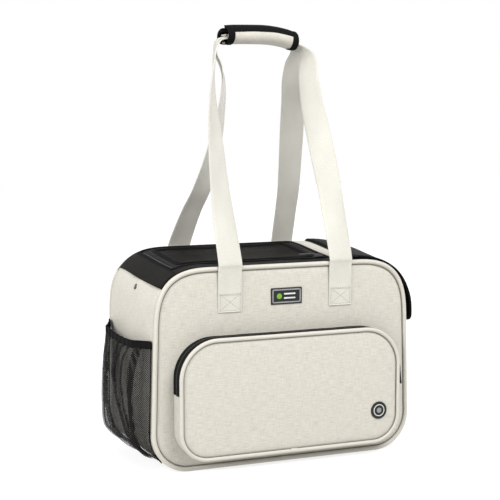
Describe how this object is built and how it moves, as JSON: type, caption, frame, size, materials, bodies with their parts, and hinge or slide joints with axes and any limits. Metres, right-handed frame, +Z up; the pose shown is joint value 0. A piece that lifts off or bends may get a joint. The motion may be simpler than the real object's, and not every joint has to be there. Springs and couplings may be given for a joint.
{
  "type": "soft-sided pet carrier",
  "caption": "Soft-sided tote carrier for a small pet, with a zipped mesh top hatch, head opening under a flap, mesh end pockets, bellows front pocket and twin handles.",
  "frame": {"origin": "centre of the base on the surface it stands on, under the middle of the panels", "axes": "+X to the carrier's right end seen from the front, -Y to the front pocket, +Z up"},
  "size_m": [0.4632, 0.2495, 0.6588],
  "materials": {
    "cream_fabric": "matte woven polyester, heathered",
    "cream_piping": "matte",
    "cream_webbing": "matte herringbone webbing",
    "black_nylon": "satin nylon",
    "black_binding": "matte ribbed tape",
    "black_webbing": "matte",
    "zip_tape": "matte twill tape",
    "zip_coil": "satin nylon coil",
    "dark_mesh": "open knit mesh",
    "hook_and_loop": "brushed",
    "snap_metal": "polished nickel",
    "zip_metal": "black lacquered zinc",
    "rubber_label": "matte moulded rubber",
    "base_board": "matte board",
    "fleece": "soft fleece"
  },
  "bodies": {
    "carrier": {"front_panel": "cream_fabric", "back_panel": "cream_fabric", "front_piping": "cream_piping", "back_piping": "cream_piping", "bottom_panel": "cream_fabric", "right_end_panel": "cream_fabric", "left_end_panel": "cream_fabric", "cross_strip": "cream_fabric", "base_board": "base_board", "top_frame": "black_nylon", "head_frame": "black_nylon", "flap_snap_stud": "snap_metal", "left_snap": "snap_metal", "left_pocket_mesh": "dark_mesh", "left_pocket_hem": "black_binding", "right_pocket_mesh": "dark_mesh", "right_pocket_hem": "black_binding", "pocket_lower_face": "cream_fabric", "pocket_lower_piping": "cream_piping", "pocket_gusset": "cream_fabric", "pocket_zip_tape": "zip_tape", "pocket_zip_coil": "zip_coil", "front_strap_left_leg": "cream_webbing", "front_strap_right_leg": "cream_webbing", "back_strap_left_leg": "cream_webbing", "back_strap_right_leg": "cream_webbing", "front_strap_left_end": "cream_webbing", "front_strap_right_end": "cream_webbing", "back_strap_left_end": "cream_webbing", "back_strap_right_end": "cream_webbing", "front_label": "rubber_label", "pocket_label": "rubber_label", "tether_tab": "black_webbing"},
    "mat": {"fleece_mat": "fleece"},
    "hatch": {"hatch_border": "black_nylon", "hatch_mesh": "dark_mesh", "hatch_zip_coil": "zip_coil"},
    "hatch_slider": {"hatch_slider": "zip_metal"},
    "hatch_pull": {"hatch_pull": "zip_metal"},
    "head_flap": {"head_flap": "black_nylon", "flap_snap_cap": "snap_metal"},
    "pocket_flap": {"pocket_upper_face": "cream_fabric", "pocket_upper_piping": "cream_piping", "pocket_flap_tape": "zip_tape"},
    "pocket_slider": {"pocket_slider": "zip_metal"},
    "pocket_pull": {"pocket_pull": "zip_metal"},
    "handle": {"grip_pad": "cream_fabric", "grip_hook_tape": "hook_and_loop", "front_strap_grip": "cream_webbing", "back_strap_grip": "cream_webbing"},
    "grip_flap": {"grip_flap": "cream_fabric", "grip_flap_binding": "black_binding", "grip_loop_tape": "hook_and_loop"},
    "tether": {"tether_strap": "black_webbing", "tether_clip": "snap_metal"},
    "clip_gate": {"clip_gate": "snap_metal"}
  },
  "joints": [
    {"name": "mat_lift", "type": "slide", "parent": "carrier", "child": "mat", "axis": [0, 0, 1], "range_m": [0, 0.05]},
    {"name": "hatch_open", "type": "hinge", "parent": "carrier", "child": "hatch", "pos_m": [0, 0.072, 0.3157], "axis": [-1, 0, 0], "range_deg": [0, 75]},
    {"name": "hatch_zip", "type": "slide", "parent": "hatch", "child": "hatch_slider", "axis": [-1, 0, 0], "range_m": [0, 0.14]},
    {"name": "hatch_pull_flip", "type": "hinge", "parent": "hatch_slider", "child": "hatch_pull", "pos_m": [0.0645, -0.072, 0.3121], "axis": [0, 1, 0], "range_deg": [0, 150]},
    {"name": "head_flap_open", "type": "hinge", "parent": "carrier", "child": "head_flap", "pos_m": [0.1215, 0, 0.3169], "axis": [0, -1, 0], "range_deg": [0, 95]},
    {"name": "pocket_open", "type": "hinge", "parent": "carrier", "child": "pocket_flap", "pos_m": [0, -0.1385, 0.118], "axis": [1, 0, 0], "range_deg": [0, 80]},
    {"name": "pocket_zip", "type": "hinge", "parent": "carrier", "child": "pocket_slider", "pos_m": [0.121, -0.11975, 0.142], "axis": [0, -1, 0], "range_deg": [0, 80]},
    {"name": "pocket_pull_flip", "type": "hinge", "parent": "pocket_slider", "child": "pocket_pull", "pos_m": [0.1878, -0.11975, 0.14], "axis": [0, -1, 0], "range_deg": [0, 150]},
    {"name": "handle_lean", "type": "hinge", "parent": "carrier", "child": "handle", "pos_m": [0, 0, 0.307], "axis": [1, 0, 0], "range_deg": [-35, 35], "deforming": ["front_strap_left_leg", "front_strap_right_leg", "back_strap_left_leg", "back_strap_right_leg"]},
    {"name": "grip_open", "type": "hinge", "parent": "handle", "child": "grip_flap", "pos_m": [0, -0.0038, 0.6235], "axis": [1, 0, 0], "range_deg": [0, 100]},
    {"name": "tether_swing", "type": "hinge", "parent": "carrier", "child": "tether", "pos_m": [-0.12, 0.0957, 0.2495], "axis": [-1, 0, 0], "range_deg": [0, 60]},
    {"name": "clip_gate_open", "type": "hinge", "parent": "tether", "child": "clip_gate", "pos_m": [-0.129, 0.0947, 0.1068], "axis": [0, -1, 0], "range_deg": [0, 25], "stiffness_Nm_per_rad": 0.02}
  ]
}
